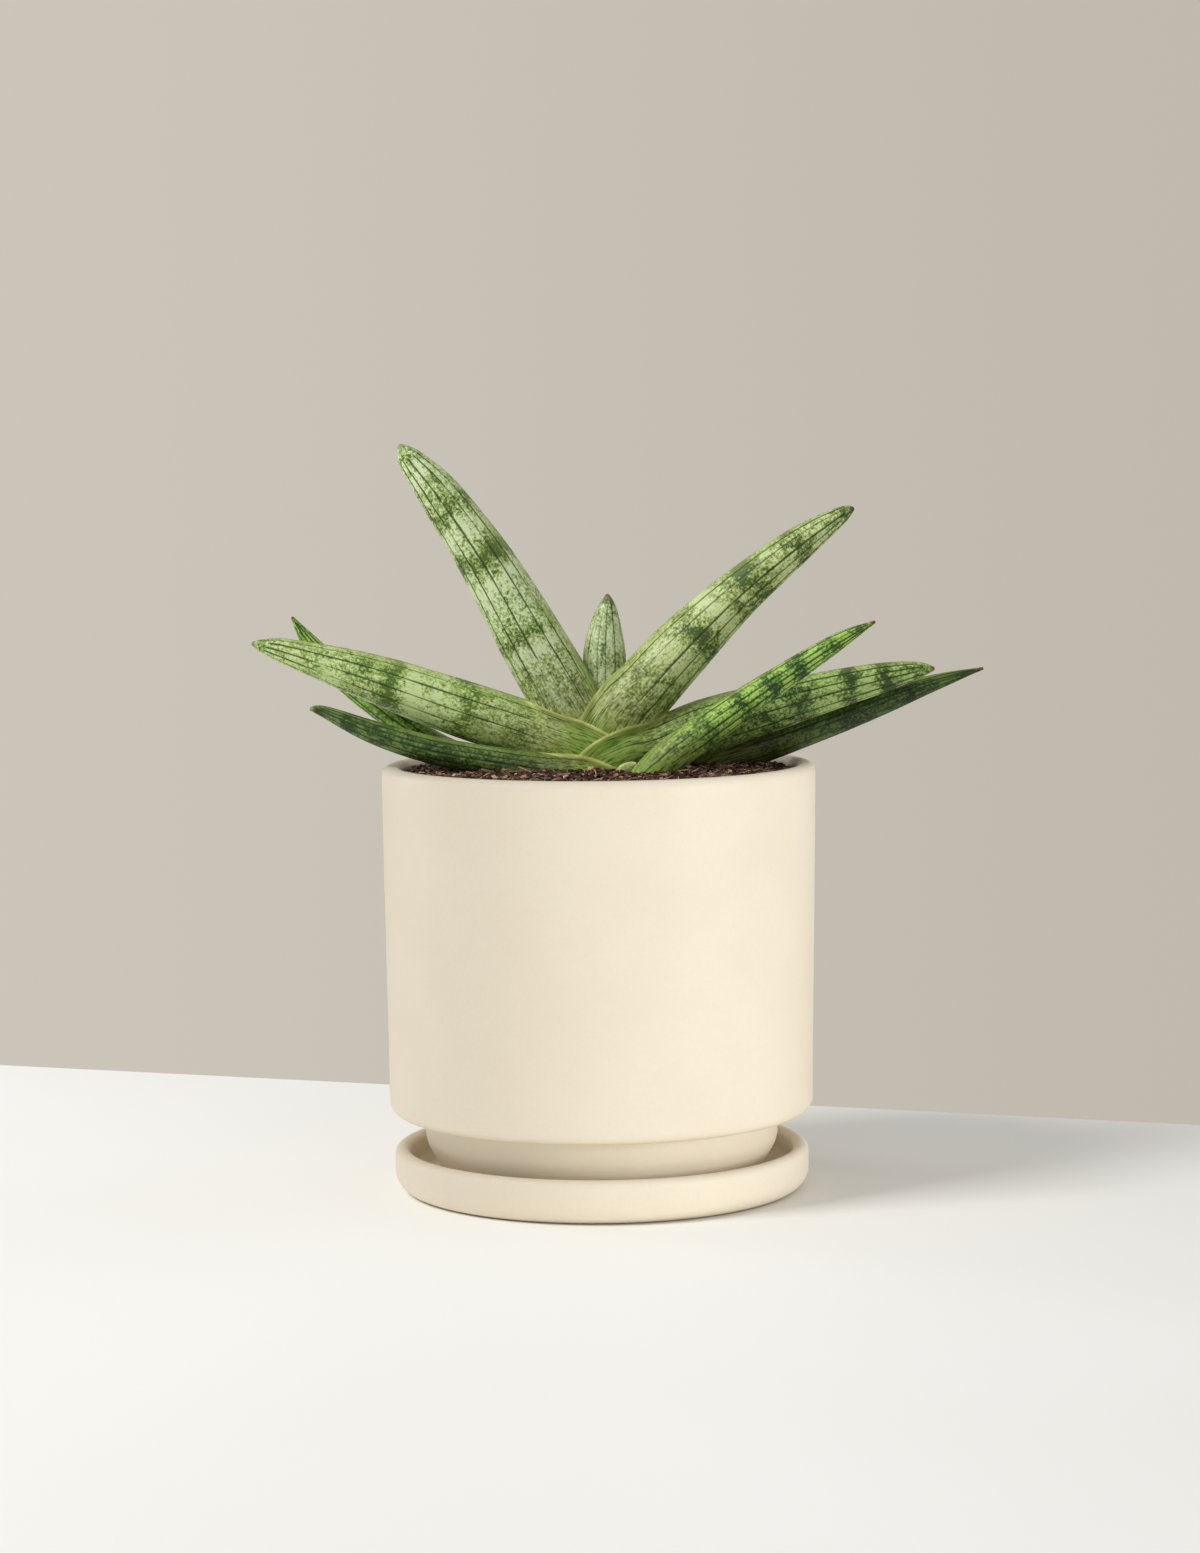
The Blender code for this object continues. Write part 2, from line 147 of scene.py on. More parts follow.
# What each leaf looks like: its colours (sRGB, 0 to 255), where its cross bands lie, as (millimetres from
# the tip, half width, strength), dark where the strength is above 0 and pale below, and its tinted tip.
# "groove" weakens its grooves, and "scars" are dry spots, as (millimetres from the tip, degrees, radius).
LEAF_LOOKS = {
    "leaf_centre": {
        "slot": "leaf_grey_green",
        "colours": {"pale": (204, 216, 172), "mid": (158, 176, 116), "dark": (84, 102, 52)},
        "bands": [(2.0, 2.2, 0.9), (12, 6, -0.4), (24, 5, -0.3)], "tip": (112, 108, 70), "tip_length": 2.0,
        "groove": 0.7,
    },
    "leaf_upper_left": {
        "slot": "leaf_grey_green",
        "colours": {"pale": (210, 224, 176), "mid": (154, 176, 100), "dark": (74, 98, 36)},
        "bands": [
            (4, 2.2, 0.35), (11, 3.5, -0.6), (23, 3.2, 0.62), (31, 3.2, -0.45), (40.5, 3.6, 0.95),
            (49, 3.2, -0.7), (58, 3.5, -0.25), (67, 2.6, 0.5), (72.5, 2.8, -0.6),
        ],
        "tip": (140, 146, 100), "tip_length": 1.2,
    },
    "leaf_upper_right": {
        "slot": "leaf_grey_green",
        "colours": {"pale": (200, 213, 150), "mid": (144, 162, 86), "dark": (66, 88, 34)},
        "bands": [
            (3, 2.5, 0.7), (11, 3, -0.25), (19.5, 3.0, 0.6), (27, 3, -0.5), (36, 4, 0.95), (44, 2.6, 0.3),
            (50, 3.4, -0.6), (59, 3.6, 0.7), (69, 4, -0.5), (80, 3, 0.2),
        ],
        "tip": (96, 70, 56), "tip_length": 1.6,
    },
    "leaf_left": {
        "slot": "leaf_grey_green",
        "colours": {"pale": (198, 216, 150), "mid": (148, 172, 90), "dark": (74, 102, 38)},
        "bands": [
            (3, 2, 0.5), (12, 4, -0.2), (24, 4, -0.5), (33, 2.6, 0.3), (42.5, 2.4, 0.95), (49, 3.4, -0.55),
            (57, 3, -0.3), (65, 3.2, 0.8), (75, 4, -0.2),
        ],
        "tip": (120, 122, 84), "tip_length": 1.6, "scars": [(38.5, 214, 0.9), (2.5, 200, 0.5)],
    },
    "leaf_right_back": {
        "slot": "leaf_grey_green",
        "colours": {"pale": (172, 196, 118), "mid": (112, 138, 60), "dark": (46, 68, 24)},
        "bands": [
            (5, 2.6, 0.3), (14.5, 2.6, 0.95), (20, 3, -0.6), (26, 2.6, 0.9), (32, 3.5, -0.35), (41, 3, 0.5),
            (52, 4, 0.7), (66, 4, -0.3),
        ],
        "tip": (132, 84, 56), "tip_length": 1.6,
    },
    "leaf_left_low": {
        "slot": "leaf_dark_green",
        "colours": {"pale": (104, 130, 66), "mid": (66, 88, 36), "dark": (36, 56, 20)},
        "bands": [(3.2, 1.2, 0.9), (7, 2.6, -1.0), (13, 3, 0.6), (22, 3, 0.5), (28, 2, -0.5), (40, 5, 0.4)],
        "tip": (134, 128, 66), "tip_length": 1.5,
    },
    "leaf_right_front": {
        "slot": "leaf_bright_green",
        "colours": {"pale": (168, 204, 96), "mid": (100, 140, 50), "dark": (36, 70, 18)},
        "bands": [
            (6, 1.8, 0.5), (10, 2, -0.9), (14, 1.6, 0.6), (20, 2.2, -0.5), (25.5, 1.8, 0.8),
            (30, 2.0, -0.7), (35, 1.8, 0.8), (41, 2.2, -0.4), (46, 2.0, 0.9), (51, 2.4, -0.5), (58, 3, 0.4),
        ],
        "tip": (122, 58, 36), "tip_length": 2.2,
    },
    "leaf_left_back": {
        "slot": "leaf_bright_green",
        "colours": {"pale": (160, 196, 84), "mid": (106, 150, 58), "dark": (46, 84, 28)},
        "bands": [(3, 2, 0.3), (10, 4, -0.6), (20, 4, 0.3), (34, 4, -0.3), (50, 5, 0.4)],
        "tip": (96, 90, 48), "tip_length": 1.4,
    },
    "leaf_right_low": {
        "slot": "leaf_dark_green",
        # Painted shade: these colours are darkened for the shade that leaf_right_back casts on this leaf.
        "colours": {"pale": (86, 108, 44), "mid": (46, 66, 22), "dark": (18, 32, 10)},
        "bands": [(4, 2, 0.4), (12, 4, -0.5), (22, 3, 0.5), (30, 4, -0.4), (42, 4, 0.5), (56, 4, -0.2)],
        "tip": (120, 60, 44), "tip_length": 1.6,
    },
    "scale_leaf": {
        "slot": "leaf_pale",
        "colours": {"pale": (206, 214, 158), "mid": (176, 190, 116), "dark": (134, 152, 78)},
        "bands": [], "tip": (214, 206, 168), "tip_length": 1.5,
    },
}

# Grooves: where they lie round a leaf in degrees, how deep they are cut and how wide
GROOVE_ANGLES = (98, 128, 156, 184, 214, 244, 280, 318, 354, 36)
GROOVE_DEPTH = 0.24
GROOVE_WIDTH = 0.22

# How far a band at full strength shifts the speckles towards dark
BAND_STRENGTH = 0.17

# Bases that wrap over the leaves inside them, the gap between the two, where the edge turns in (a cosine),
# and how much of the leaf's length can wrap
WRAPPING = ("leaf_upper_left", "leaf_upper_right", "leaf_left", "leaf_right_back", "leaf_left_low")
SHEATH_GAP = 0.6
EDGE_TURN = 0.16
WRAPPED_SHARE = 0.62

# Where rays at the leaves start, and how deep a ray that meets nothing counts
RAY_START = -80.0
RAY_MISS = 1000.0


# ---------------------------------------------------------------- colours and nodes

def linear(colour):
    """Linear RGB of an sRGB colour given as 0 to 255."""
    values = []
    for channel in colour:
        share = channel / 255
        values.append(share / 12.92 if share <= 0.04045 else ((share + 0.055) / 1.055) ** 2.4)
    return (*values, 1.0)


def new_material(name):
    material = bpy.data.materials.new(name)
    material.use_nodes = True
    return material, material.node_tree, material.node_tree.nodes["Principled BSDF"]


def feed(tree, socket, value):
    """Sets a socket, or links it where the value is another socket."""
    if isinstance(value, bpy.types.NodeSocket):
        tree.links.new(value, socket)
    else:
        socket.default_value = value


def node(tree, kind, inputs=None, **settings):
    """A new node, its inputs set or linked by name or number."""
    made = tree.nodes.new(kind)
    for key, value in settings.items():
        setattr(made, key, value)
    for key, value in (inputs or {}).items():
        feed(tree, made.inputs[key], value)
    return made


def attribute(tree, name, output="Fac"):
    return node(tree, "ShaderNodeAttribute", attribute_name=name).outputs[output]


def calculate(tree, operation, first, second):
    return node(tree, "ShaderNodeMath", {0: first, 1: second}, operation=operation).outputs[0]


def stretched(tree, vector, scale):
    return node(tree, "ShaderNodeMapping", {"Vector": vector, "Scale": scale}).outputs[0]


def noise_of(tree, vector, scale, detail=2.0, roughness=0.5, distortion=0.0):
    inputs = {
        "Vector": vector, "Scale": scale, "Detail": detail,
        "Roughness": roughness, "Distortion": distortion,
    }
    return node(tree, "ShaderNodeTexNoise", inputs).outputs["Fac"]


def ramp(tree, value, low, high, to_low=0.0, to_high=1.0):
    inputs = {"Value": value, "From Min": low, "From Max": high, "To Min": to_low, "To Max": to_high}
    return node(tree, "ShaderNodeMapRange", inputs, interpolation_type="SMOOTHSTEP").outputs[0]


def blend(tree, share, first, second):
    made = node(tree, "ShaderNodeMix", data_type="RGBA")
    feed(tree, made.inputs[0], share)
    feed(tree, made.inputs[6], first)
    feed(tree, made.inputs[7], second)
    return made.outputs[2]


def bump(tree, height, strength, distance, normal=None):
    inputs = {"Height": height, "Strength": strength, "Distance": distance}
    if normal is not None:
        inputs["Normal"] = normal
    return node(tree, "ShaderNodeBump", inputs).outputs[0]


# ---------------------------------------------------------------- finishes

def leaf_material(name, look):
    """Waxy leaf: dark speckles over a paler ground, cross bands, grooves, a tinted base and margin, and
    painted light along its upper side.
    """
    material, tree, shader = new_material(name)
    space = attribute(tree, "leaf_space", "Vector")
    colours = {key: linear(value) for key, value in look["colours"].items()}

    speckle = noise_of(tree, space, 1.2, 3.0, 0.66)
    blotches = noise_of(tree, stretched(tree, space, (0.42, 0.42, 0.34)), 1.0, 4.0, 0.62, 0.5)
    lines = noise_of(tree, stretched(tree, space, (2.2, 2.2, 0.2)), 1.0, 2.0, 0.55)
    small_marks = calculate(tree, "MULTIPLY", speckle, 0.6)
    large_marks = calculate(tree, "MULTIPLY", blotches, 0.4)
    mixed = calculate(tree, "ADD", small_marks, large_marks)
    shown = calculate(tree, "ADD", mixed, attribute(tree, "bias"))
    ground = blend(tree, ramp(tree, shown, 0.445, 0.515), colours["pale"], colours["mid"])
    speckled = blend(tree, ramp(tree, shown, 0.535, 0.595, 0.0, 0.95), ground, colours["dark"])

    base = attribute(tree, "base")
    olive = blend(tree, ramp(tree, lines, 0.42, 0.6), linear((160, 154, 90)), linear((78, 82, 32)))
    blush = ramp(tree, blotches, 0.5, 0.66, 0.0, 0.55)
    olive = blend(tree, blush, olive, linear((128, 110, 74)))
    tinted = blend(tree, calculate(tree, "MULTIPLY", base, 0.8), speckled, olive)
    fresh = blend(tree, ramp(tree, lines, 0.4, 0.66), linear((132, 158, 56)), linear((82, 118, 32)))
    tinted = blend(tree, attribute(tree, "fresh"), tinted, fresh)
    on_base = ramp(tree, base, 0.02, 0.7, 0.22, 0.8)
    streaks = calculate(tree, "MULTIPLY", ramp(tree, lines, 0.55, 0.63), on_base)
    tinted = blend(tree, streaks, tinted, colours["dark"])
    # Painted light: the leaf's upper side is blended towards a paler yellow green, as if lit from above.
    with_top_light = blend(tree, attribute(tree, "painted_top_light"), tinted, linear((160, 180, 92)))
    cut = ramp(tree, attribute(tree, "groove"), 0.12, 0.6, 0.0, 0.88)
    grooved = blend(tree, cut, with_top_light, linear((36, 58, 18)))
    margined = blend(tree, attribute(tree, "margin"), grooved, linear((196, 196, 116)))
    tipped = blend(tree, attribute(tree, "tip"), margined, linear(look["tip"]))
    scarred = blend(tree, attribute(tree, "scar"), tipped, linear((96, 74, 52)))
    feed(tree, shader.inputs["Base Color"], scarred)

    roughness = ramp(tree, speckle, 0.3, 0.75, 0.4, 0.56)
    feed(tree, shader.inputs["Roughness"], roughness)
    shader.inputs["Specular IOR Level"].default_value = 0.3
    grain = bump(tree, speckle, 0.35, 0.00016)
    fine_lines = bump(tree, lines, 0.3, 0.00018, grain)
    feed(tree, shader.inputs["Normal"], fine_lines)
    return material


def ceramic_material():
    """Matte cream stoneware with a faint mottling, fine pits and a soft sheen."""
    material, tree, shader = new_material("ceramic_finish")
    place = node(tree, "ShaderNodeTexCoord").outputs["Object"]
    mottle = noise_of(tree, place, 38.0, 3.0, 0.55)
    grain = noise_of(tree, place, 900.0, 3.0, 0.6)
    pits = node(tree, "ShaderNodeTexVoronoi", {"Vector": place, "Scale": 420.0}).outputs["Distance"]
    rings = noise_of(tree, stretched(tree, place, (6.0, 6.0, 260.0)), 1.0, 2.0, 0.5)

    colour = blend(tree, ramp(tree, mottle, 0.3, 0.7), linear((232, 220, 198)), linear((234, 223, 202)))
    speck = ramp(tree, pits, 0.05, 0.13, 0.1, 0.0)
    colour = blend(tree, speck, colour, linear((188, 168, 132)))
    colour = blend(tree, ramp(tree, grain, 0.35, 0.65, 0.0, 0.06), colour, linear((205, 190, 160)))
    feed(tree, shader.inputs["Base Color"], colour)
    feed(tree, shader.inputs["Roughness"], ramp(tree, mottle, 0.25, 0.75, 0.42, 0.52))
    shader.inputs["Specular IOR Level"].default_value = 0.4
    body = bump(tree, rings, 0.2, 0.0001)
    normal = bump(tree, grain, 0.14, 0.00005, body)
    feed(tree, shader.inputs["Normal"], normal)
    return material


def soil_material(name, dark, middle, light):
    """Damp bark and coir: dark clumps, lightened by each piece's tone and a fine grit."""
    material, tree, shader = new_material(name)
    place = node(tree, "ShaderNodeTexCoord").outputs["Object"]
    clumps = noise_of(tree, place, 300.0, 4.0, 0.65)
    grit = noise_of(tree, place, 1500.0, 3.0, 0.7)
    tone = attribute(tree, "tone")
    colour = blend(tree, ramp(tree, clumps, 0.38, 0.66), linear(dark), linear(middle))
    lightened = calculate(tree, "MULTIPLY", tone, ramp(tree, grit, 0.3, 0.6, 0.7, 1.0))
    colour = blend(tree, lightened, colour, linear(light))
    feed(tree, shader.inputs["Base Color"], colour)
    feed(tree, shader.inputs["Roughness"], ramp(tree, grit, 0.3, 0.7, 0.72, 0.95))
    shader.inputs["Specular IOR Level"].default_value = 0.3
    feed(tree, shader.inputs["Normal"], bump(tree, grit, 0.6, 0.0003, bump(tree, clumps, 0.5, 0.0008)))
    return material


def rhizome_material():
    """Pale brown rind with close rings."""
    material, tree, shader = new_material("rhizome_finish")
    place = node(tree, "ShaderNodeTexCoord").outputs["Object"]
    rings = noise_of(tree, stretched(tree, place, (700.0, 160.0, 160.0)), 1.0, 3.0, 0.6)
    colour = blend(tree, ramp(tree, rings, 0.35, 0.65), linear((150, 118, 70)), linear((196, 168, 112)))
    feed(tree, shader.inputs["Base Color"], colour)
    feed(tree, shader.inputs["Roughness"], ramp(tree, rings, 0.3, 0.7, 0.6, 0.8))
    feed(tree, shader.inputs["Normal"], bump(tree, rings, 0.5, 0.0004))
    return material


# ---------------------------------------------------------------- mesh helpers

def mesh_object(name, points, faces, uv=None, floats=None, vectors=None):
    """An object in metres from points in millimetres, smooth shaded, with a bake map and attributes."""
    mesh = bpy.data.meshes.new(name)
    mesh.from_pydata((np.asarray(points) * MM).tolist(), [], [list(face) for face in faces])
    mesh.shade_smooth()
    if uv is not None:
        layer = mesh.uv_layers.new(name="OFBake")
        layer.data.foreach_set("uv", np.asarray(uv, np.float32).reshape(-1))
    for key, values in (floats or {}).items():
        made = mesh.attributes.new(key, "FLOAT", "POINT")
        made.data.foreach_set("value", np.asarray(values, np.float32).reshape(-1))
    for key, values in (vectors or {}).items():
        made = mesh.attributes.new(key, "FLOAT_VECTOR", "POINT")
        made.data.foreach_set("vector", np.asarray(values, np.float32).reshape(-1))
    obj = bpy.data.objects.new(name, mesh)
    bpy.context.scene.collection.objects.link(obj)
    return obj


def arc(centre_r, centre_z, radius, start, end, steps):
    angles = np.radians(np.linspace(start, end, steps + 1))
    return [(centre_r + radius * math.cos(a), centre_z + radius * math.sin(a)) for a in angles]


def refined(profile, longest):
    """The profile with its long straight stretches divided."""
    points = [profile[0]]
    for (r0, z0), (r1, z1) in zip(profile, profile[1:]):
        parts = max(1, math.ceil(math.hypot(r1 - r0, z1 - z0) / longest))
        for i in range(1, parts + 1):
            points.append((r0 + (r1 - r0) * i / parts, z0 + (z1 - z0) * i / parts))
    return points


def turned(name, profile, wobble=0.0, seed=0.0):
    """A body of revolution from a profile that runs from the axis or round a closed loop."""
    ring = profile[0] == profile[-1]
    rows = profile[:-1] if ring else profile
    count = len(rows)
    points = []
    for r, z in rows:
        for side in range(TURN_SIDES):
            angle = TAU * side / TURN_SIDES
            direction = Vector((math.cos(angle), math.sin(angle), 0))
            shift = noise.noise(direction * 1.3 + Vector((0, 0, z * 0.02 + seed))) * wobble if r > 8 else 0
            points.append((*(direction.xy * (r + shift)), z))
    lengths = [0.0]
    for (r0, z0), (r1, z1) in zip(profile, profile[1:]):
        lengths.append(lengths[-1] + math.hypot(r1 - r0, z1 - z0))
    total = lengths[-1]
    faces, uv = [], []
    last = count if ring else count - 1
    for row in range(last):
        upper, lower = row * TURN_SIDES, (row + 1) % count * TURN_SIDES
        v0 = UV_MARGIN + UV_SPAN * lengths[row] / total
        v1 = UV_MARGIN + UV_SPAN * lengths[row + 1] / total
        for side in range(TURN_SIDES):
            near, far = side, (side + 1) % TURN_SIDES
            u0 = UV_MARGIN + UV_SPAN * side / TURN_SIDES
            u1 = UV_MARGIN + UV_SPAN * (side + 1) / TURN_SIDES
            if rows[row][0] == 0:
                faces.append((upper, lower + near, lower + far))
                uv += [((u0 + u1) / 2, v0), (u0, v1), (u1, v1)]
            elif rows[(row + 1) % count][0] == 0:
                faces.append((upper + near, lower, upper + far))
                uv += [(u0, v0), ((u0 + u1) / 2, v1), (u1, v0)]
            else:
                faces.append((upper + near, lower + near, lower + far, upper + far))
                uv += [(u0, v0), (u0, v1), (u1, v1), (u1, v0)]
    return mesh_object(name, *without_spares(points, faces), uv)


def without_spares(points, faces):
    """The points that the faces use, and the faces renumbered to them."""
    used = sorted({index for face in faces for index in face})
    number = {old: new for new, old in enumerate(used)}
    return [points[i] for i in used], [tuple(number[i] for i in face) for face in faces]


# ---------------------------------------------------------------- pot and saucer

def make_saucer(look):
    """A shallow dish with a rounded lip. The profile runs from its middle out and back underneath."""
    wall_foot = SAUCER_RADIUS - SAUCER_WALL
    lip = SAUCER_WALL / 2
    profile = [(0, SAUCER_FLOOR)]
    profile += arc(wall_foot - 3.0, SAUCER_FLOOR + 3.0, 3.0, -90, 0, 8)
    profile += arc(wall_foot + lip, SAUCER_HEIGHT - lip, lip, 180, 0, 16)
    profile += arc(SAUCER_RADIUS - SAUCER_CORNER, SAUCER_CORNER, SAUCER_CORNER, 0, -90, 12)
    profile += [(0, 0)]
    saucer = turned("saucer_glazed", refined(profile, 5.0), 0.12, 3.0)
    saucer.data.materials.append(look)
    return saucer


def make_pot(look):
    """A cylinder on a recessed foot with a drainage hole. The profile runs from the rim down the outside,
    through the hole and up the inside."""
    wall = RIM_RADIUS - POT_WALL
    body = BODY_BASE_RADIUS - POT_WALL
    foot = FOOT_RADIUS - POT_WALL
    step = BODY_BASE + POT_WALL
    profile = arc(RIM_RADIUS - 2.6, RIM_HEIGHT - 2.6, 2.6, 90, 0, 10)
    profile += arc(BODY_BASE_RADIUS - BODY_CORNER, BODY_BASE + BODY_CORNER, BODY_CORNER, 0, -90, 10)
    profile += arc(FOOT_RADIUS + 1.2, BODY_BASE - 1.2, 1.2, 90, 180, 4)
    profile += [(FOOT_RADIUS, 16.0), (51.2, 13.6), (49.8, 11.0), (48.0, 7.6), (47.2, 5.4)]
    profile += [(FOOT_BASE_RADIUS, FOOT_BASE), (38.5, FOOT_BASE), (37.0, FOOT_BASE + 1.5)]
    profile += [(DRAIN_RADIUS + 0.5, FOOT_BASE + 1.5), (DRAIN_RADIUS, FOOT_BASE + 2.0)]
    profile += [(DRAIN_RADIUS, POT_FLOOR - 0.5), (DRAIN_RADIUS + 0.5, POT_FLOOR)]
    profile += [(foot - 5.4, POT_FLOOR), (foot - 1.2, POT_FLOOR + 2.4), (foot, step - 1.2)]
    profile += [(foot + 1.2, step), (body - 3, step), (body, step + 3)]
    profile += arc(wall + 2.2, RIM_HEIGHT - 2.2, 2.2, 180, 90, 10)
    profile += [profile[0]]
    pot = turned("pot_stoneware", refined(profile, 6.0), 0.16, 9.0)
    pot.data.materials.append(look)
    return pot


# ---------------------------------------------------------------- leaves

def smooth_value(before, start, end, after, t):
    """Catmull-Rom curve between start and end."""
    rise = (end - before) * 0.5
    fall = (after - start) * 0.5
    return (
        (2 * t**3 - 3 * t**2 + 1) * start
        + (t**3 - 2 * t**2 + t) * rise
        + (3 * t**2 - 2 * t**3) * end
        + (t**3 - t**2) * fall
    )


def along(stations, count):
    """Stations on a smooth curve through the given ones, closer together towards the tip. Each ends with
    its place among the given ones, as a share. Their distances along the curve and its length come too."""
    table = np.array(stations, float)
    spans = len(table) - 1
    fine = []
    for place in np.linspace(0, spans, 40 * spans + 1):
        index = min(int(place), spans - 1)
        around = [table[max(0, min(spans, index + step))] for step in (-1, 0, 1, 2)]
        fine.append(np.append(smooth_value(*around, place - index), place / spans))
    fine = np.array(fine)
    steps = np.linalg.norm(np.diff(fine[:, :3], axis=0), axis=1)
    lengths = np.concatenate([[0], np.cumsum(steps)])
    share = np.linspace(0, 1, count)
    wanted = lengths[-1] * (1 - (1 - share) ** 1.25)
    columns = [np.interp(wanted, lengths, fine[:, i]) for i in range(fine.shape[1])]
    return np.stack(columns, 1), wanted, lengths[-1]


def ease(values, low, high):
    """0 below low, 1 above high, and a smooth step between."""
    share = np.clip((values - low) / (high - low), 0, 1)
    return share * share * (3 - 2 * share)


def wave(angle, height, seed):
    """Smooth noise round and along a leaf, from -1 to 1."""
    found = np.zeros(angle.shape)
    draws = random.Random(seed)
    for octave in range(1, 5):
        for _ in range(3):
            turns = draws.randint(0, octave + 1)
            pitch = draws.uniform(0.05, 0.11) * octave
            found += np.sin(turns * angle + pitch * height + draws.uniform(0, TAU)) / octave
    return found / 3.2


def leaf_surface(name, sides, rings):
    """Rings of points round the leaf's centreline, with each point's angle and distances along the leaf.
    An angle of 90 degrees faces the middle of the fan, 180 the front, and 270 the outside."""
    path, lengths, total = along(LEAF_STATIONS[name], rings)
    places = path[:, :3]
    tangent = np.gradient(places, axis=0)
    tangent /= np.linalg.norm(tangent, axis=1)[:, None]
    depth_axis = np.array([0, 1, 0]) - tangent * tangent[:, 1:2]
    depth_axis /= np.linalg.norm(depth_axis, axis=1)[:, None]
    width_axis = np.cross(tangent, depth_axis)
    leans_left = LEAF_STATIONS[name][-1][0] < LEAF_STATIONS[name][0][0]
    if leans_left:
        width_axis = -width_axis
    angle = np.linspace(0, TAU, sides, endpoint=False) - math.radians(45)
    share = np.clip(path[:, 5] / SHEATH_SHARE, 0, 1)
    squareness = BASE_SQUARENESS + (ROUND_SECTION - BASE_SQUARENESS) * share
    if name == "scale_leaf":
        squareness[:] = ROUND_SECTION
    power = (2 / squareness)[:, None]
    cos, sin = np.cos(angle)[None, :], np.sin(angle)[None, :]
    depth = np.sign(cos) * np.abs(cos) ** power * path[:, 4:5]
    width = np.sign(sin) * np.abs(sin) ** power * path[:, 3:4]
    offset = depth[..., None] * depth_axis[:, None] + width[..., None] * width_axis[:, None]
    return SimpleNamespace(
        points=places[:, None] + offset, places=places, half_width=path[:, 3:4], leans_left=leans_left,
        angle=angle, around=np.repeat(angle[None, :], rings, 0),
        lengths=lengths, total=total, height=np.repeat(lengths[:, None], sides, 1),
        tip_distance=np.repeat((total - lengths)[:, None], sides, 1),
        radius=np.repeat(((path[:, 3] + path[:, 4]) / 2)[:, None], sides, 1),
    )


def leaf_faces(leaf):
    """Quads from ring to ring and a fan of triangles at each end, with their bake map."""
    rings, sides = leaf.around.shape
    turn = -1 if leaf.leans_left else 1
    us = np.linspace(UV_MARGIN, 1 - UV_MARGIN, sides + 1)
    vs = 0.01 + 0.98 * leaf.lengths / leaf.total
    faces, uv = [], []
    for ring in range(rings - 1):
        first, second = ring * sides, (ring + 1) * sides
        low, high = vs[ring], vs[ring + 1]
        for side in range(sides):
            far = (side + 1) % sides
            left, right = us[side], us[side + 1]
            faces.append((first + side, first + far, second + far, second + side)[::turn])
            uv += [(left, low), (right, low), (right, high), (left, high)][::turn]
    base_point, tip_point, final = rings * sides, rings * sides + 1, (rings - 1) * sides
    for side in range(sides):
        far = (side + 1) % sides
        left, right = us[side], us[side + 1]
        middle = (left + right) / 2
        faces += [(base_point, far, side)[::turn], (tip_point, final + side, final + far)[::turn]]
        uv += [(middle, 0.002), (right, vs[0]), (left, vs[0])][::turn]
        uv += [(middle, 0.998), (left, vs[-1]), (right, vs[-1])][::turn]
    return faces, uv


def tree_of(leaf):
    """A leaf's surface, in millimetres, for rays."""
    corners = [tuple(vertex.co / MM) for vertex in leaf.data.vertices]
    return BVHTree.FromPolygons(corners, [tuple(face.vertices) for face in leaf.data.polygons])


def softened(values, rounds):
    """The values averaged with their neighbours along the leaf and round it."""
    for _ in range(rounds):
        around = (np.roll(values, 1, 1) + values + np.roll(values, -1, 1)) / 3
        padded = np.concatenate([around[:1], around, around[-1:]])
        values = (padded[:-2] + padded[1:-1] + padded[2:]) / 3
    return values


def draped(points, around, near_base, inner_trees):
    """Y of the points, with a base's front laid over the leaves inside it, and how far each one moved."""
    front = (np.cos(around) < -EDGE_TURN) & near_base
    push = np.zeros(front.shape)
    forward = Vector((0, 1, 0))
    for ring, side in np.argwhere(front):
        x, y, z = points[ring, side]
        start = Vector((x, RAY_START, z))
        hits = [tree.ray_cast(start, forward)[0] for tree in inner_trees]
        nearest = min((hit.y for hit in hits if hit is not None), default=RAY_MISS)
        push[ring, side] = max(0.0, y - (nearest - SHEATH_GAP))
    smooth = np.maximum(softened(push, 5), push) * front
    return points[..., 1] - smooth, smooth


def width_of(points, places):
    """How far each point is from the centreline, within the fan's plane."""
    tangent = np.gradient(places, axis=0)[:, (0, 2)]
    tangent /= np.linalg.norm(tangent, axis=1)[:, None]
    offset = (points - places[:, None])[..., (0, 2)]
    return offset[..., 0] * tangent[:, 1:2] - offset[..., 1] * tangent[:, 0:1]


def groove_map(leaf, seed, share):
    """How much of a groove lies at each point. Grooves follow columns of points, to stay crisp."""
    draws = random.Random(seed)
    sides = len(leaf.angle)
    groove = np.zeros(leaf.around.shape)
    for degrees in GROOVE_ANGLES:
        centre = math.radians(degrees + draws.uniform(-5, 5))
        column = round((centre - leaf.angle[0]) / TAU * sides) % sides
        offset = (leaf.angle - leaf.angle[column] + math.pi) % TAU - math.pi
        distance = np.abs(offset)[None, :] * leaf.radius
        start = draws.uniform(0.12, 0.42) * leaf.total
        end = draws.uniform(2.0, 7.0)
        strength = draws.uniform(0.6, 1.0) * share
        run = ease(leaf.height, start, start + 14) * ease(leaf.tip_distance, end * 0.5, end)
        breaks = 0.85 + 0.25 * wave(leaf.around * 0, leaf.height * 2.2, seed + degrees)
        section = np.exp(-((distance / GROOVE_WIDTH) ** 2) / 2)
        groove = np.maximum(groove, section * strength * run * breaks)
    return groove


